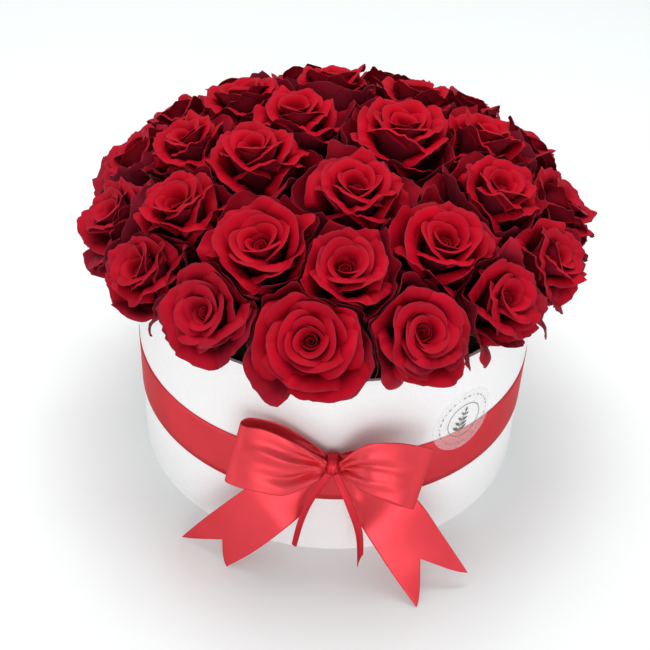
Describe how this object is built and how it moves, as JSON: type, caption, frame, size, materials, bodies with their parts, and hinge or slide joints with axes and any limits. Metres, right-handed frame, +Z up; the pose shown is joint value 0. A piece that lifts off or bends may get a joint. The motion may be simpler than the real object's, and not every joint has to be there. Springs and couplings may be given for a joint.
{
  "type": "flower box",
  "caption": "Round white hat box with a red satin ribbon and bow, holding a lift-out insert of roses in floral foam.",
  "frame": {"origin": "centre of the round box's underside, on the surface it stands on", "axes": "+Z up along the box's axis; the bow is on the -Y side, in the middle of the front"},
  "size_m": [0.3255, 0.336, 0.2278],
  "materials": {
    "box_paper": "matte",
    "satin": "satin",
    "satin_tie": "satin",
    "clear_film": "gloss",
    "liner_film": "satin",
    "floral_foam": "matte",
    "petals": "matte",
    "stem_green": "matte"
  },
  "bodies": {
    "box": {"box_wall": "box_paper", "box_base": "box_paper", "ribbon_band": "satin", "bow_loop_left": "satin", "bow_loop_right": "satin", "bow_tail_left": "satin", "bow_tail_right": "satin", "tie_knot": "satin_tie", "tie_tail_left": "satin_tie", "tie_tail_right": "satin_tie", "sticker": "clear_film"},
    "insert": {"liner": "liner_film", "foam": "floral_foam"},
    "rose_01": {"rose_01": "petals"},
    "rose_02": {"rose_02": "petals"},
    "rose_03": {"rose_03": "petals"},
    "rose_04": {"rose_04": "petals"},
    "rose_05": {"rose_05": "petals"},
    "rose_06": {"rose_06": "petals"},
    "rose_07": {"rose_07": "petals"},
    "rose_08": {"rose_08": "petals"},
    "rose_09": {"rose_09": "petals"},
    "rose_10": {"rose_10": "petals"},
    "rose_11": {"rose_11": "petals"},
    "rose_12": {"rose_12": "petals"},
    "rose_13": {"rose_13": "petals"},
    "rose_14": {"rose_14": "petals"},
    "rose_15": {"rose_15": "petals"},
    "rose_16": {"rose_16": "petals"},
    "rose_17": {"rose_17": "petals"},
    "rose_18": {"rose_18": "petals"},
    "rose_19": {"rose_19": "petals"},
    "rose_20": {"rose_20": "petals"},
    "rose_21": {"rose_21": "petals"},
    "rose_22": {"rose_22": "petals"},
    "rose_23": {"rose_23": "petals"},
    "rose_24": {"rose_24": "petals"},
    "rose_25": {"rose_25": "petals"},
    "rose_26": {"rose_26": "petals"},
    "rose_27": {"rose_27": "petals"},
    "rose_28": {"rose_28": "petals"},
    "rose_29": {"rose_29": "petals"}
  },
  "joints": [
    {"name": "insert_lift", "type": "slide", "parent": "box", "child": "insert", "axis": [0, 0, 1], "range_m": [0, 0.16]},
    {"name": "rose_01_pull", "type": "slide", "parent": "insert", "child": "rose_01", "axis": [0.0248, -0.1167, 0.9929], "range_m": [0, 0.06]},
    {"name": "rose_02_pull", "type": "slide", "parent": "insert", "child": "rose_02", "axis": [0.1022, 0.0743, 0.992], "range_m": [0, 0.06]},
    {"name": "rose_03_pull", "type": "slide", "parent": "insert", "child": "rose_03", "axis": [-0.0821, 0.1051, 0.9911], "range_m": [0, 0.06]},
    {"name": "rose_04_pull", "type": "slide", "parent": "insert", "child": "rose_04", "axis": [-0.1464, -0.0206, 0.989], "range_m": [0, 0.06]},
    {"name": "rose_05_pull", "type": "slide", "parent": "insert", "child": "rose_05", "axis": [0.0187, -0.3572, 0.9338], "range_m": [0, 0.055]},
    {"name": "rose_06_pull", "type": "slide", "parent": "insert", "child": "rose_06", "axis": [0.2007, -0.2569, 0.9454], "range_m": [0, 0.055]},
    {"name": "rose_07_pull", "type": "slide", "parent": "insert", "child": "rose_07", "axis": [0.3189, -0.0678, 0.9454], "range_m": [0, 0.055]},
    {"name": "rose_08_pull", "type": "slide", "parent": "insert", "child": "rose_08", "axis": [0.3001, 0.1274, 0.9454], "range_m": [0, 0.055]},
    {"name": "rose_09_pull", "type": "slide", "parent": "insert", "child": "rose_09", "axis": [0.1579, 0.297, 0.9417], "range_m": [0, 0.055]},
    {"name": "rose_10_pull", "type": "slide", "parent": "insert", "child": "rose_10", "axis": [-0.0293, 0.3351, 0.9417], "range_m": [0, 0.055]},
    {"name": "rose_11_pull", "type": "slide", "parent": "insert", "child": "rose_11", "axis": [-0.2251, 0.25, 0.9417], "range_m": [0, 0.055]},
    {"name": "rose_12_pull", "type": "slide", "parent": "insert", "child": "rose_12", "axis": [-0.322, 0.051, 0.9454], "range_m": [0, 0.055]},
    {"name": "rose_13_pull", "type": "slide", "parent": "insert", "child": "rose_13", "axis": [-0.3355, -0.1784, 0.925], "range_m": [0, 0.055]},
    {"name": "rose_14_pull", "type": "slide", "parent": "insert", "child": "rose_14", "axis": [-0.1429, -0.2931, 0.9454], "range_m": [0, 0.055]},
    {"name": "rose_15_pull", "type": "slide", "parent": "insert", "child": "rose_15", "axis": [-0.0647, -0.74, 0.6695], "range_m": [0, 0.05]},
    {"name": "rose_16_pull", "type": "slide", "parent": "insert", "child": "rose_16", "axis": [0.2644, -0.6887, 0.6751], "range_m": [0, 0.05]},
    {"name": "rose_17_pull", "type": "slide", "parent": "insert", "child": "rose_17", "axis": [0.5082, -0.5082, 0.6953], "range_m": [0, 0.05]},
    {"name": "rose_18_pull", "type": "slide", "parent": "insert", "child": "rose_18", "axis": [0.6397, -0.2584, 0.7239], "range_m": [0, 0.05]},
    {"name": "rose_19_pull", "type": "slide", "parent": "insert", "child": "rose_19", "axis": [0.6503, 0.0341, 0.7589], "range_m": [0, 0.05]},
    {"name": "rose_20_pull", "type": "slide", "parent": "insert", "child": "rose_20", "axis": [0.5272, 0.3044, 0.7934], "range_m": [0, 0.05]},
    {"name": "rose_21_pull", "type": "slide", "parent": "insert", "child": "rose_21", "axis": [0.3574, 0.4574, 0.8143], "range_m": [0, 0.05]},
    {"name": "rose_22_pull", "type": "slide", "parent": "insert", "child": "rose_22", "axis": [0.136, 0.5455, 0.827], "range_m": [0, 0.05]},
    {"name": "rose_23_pull", "type": "slide", "parent": "insert", "child": "rose_23", "axis": [-0.1167, 0.5491, 0.8275], "range_m": [0, 0.05]},
    {"name": "rose_24_pull", "type": "slide", "parent": "insert", "child": "rose_24", "axis": [-0.3223, 0.4778, 0.8172], "range_m": [0, 0.05]},
    {"name": "rose_25_pull", "type": "slide", "parent": "insert", "child": "rose_25", "axis": [-0.4856, 0.3528, 0.7998], "range_m": [0, 0.05]},
    {"name": "rose_26_pull", "type": "slide", "parent": "insert", "child": "rose_26", "axis": [-0.6059, 0.1737, 0.7764], "range_m": [0, 0.05]},
    {"name": "rose_27_pull", "type": "slide", "parent": "insert", "child": "rose_27", "axis": [-0.6603, -0.1403, 0.7378], "range_m": [0, 0.05]},
    {"name": "rose_28_pull", "type": "slide", "parent": "insert", "child": "rose_28", "axis": [-0.5732, -0.4165, 0.7057], "range_m": [0, 0.05]},
    {"name": "rose_29_pull", "type": "slide", "parent": "insert", "child": "rose_29", "axis": [-0.3767, -0.6269, 0.682], "range_m": [0, 0.05]}
  ]
}
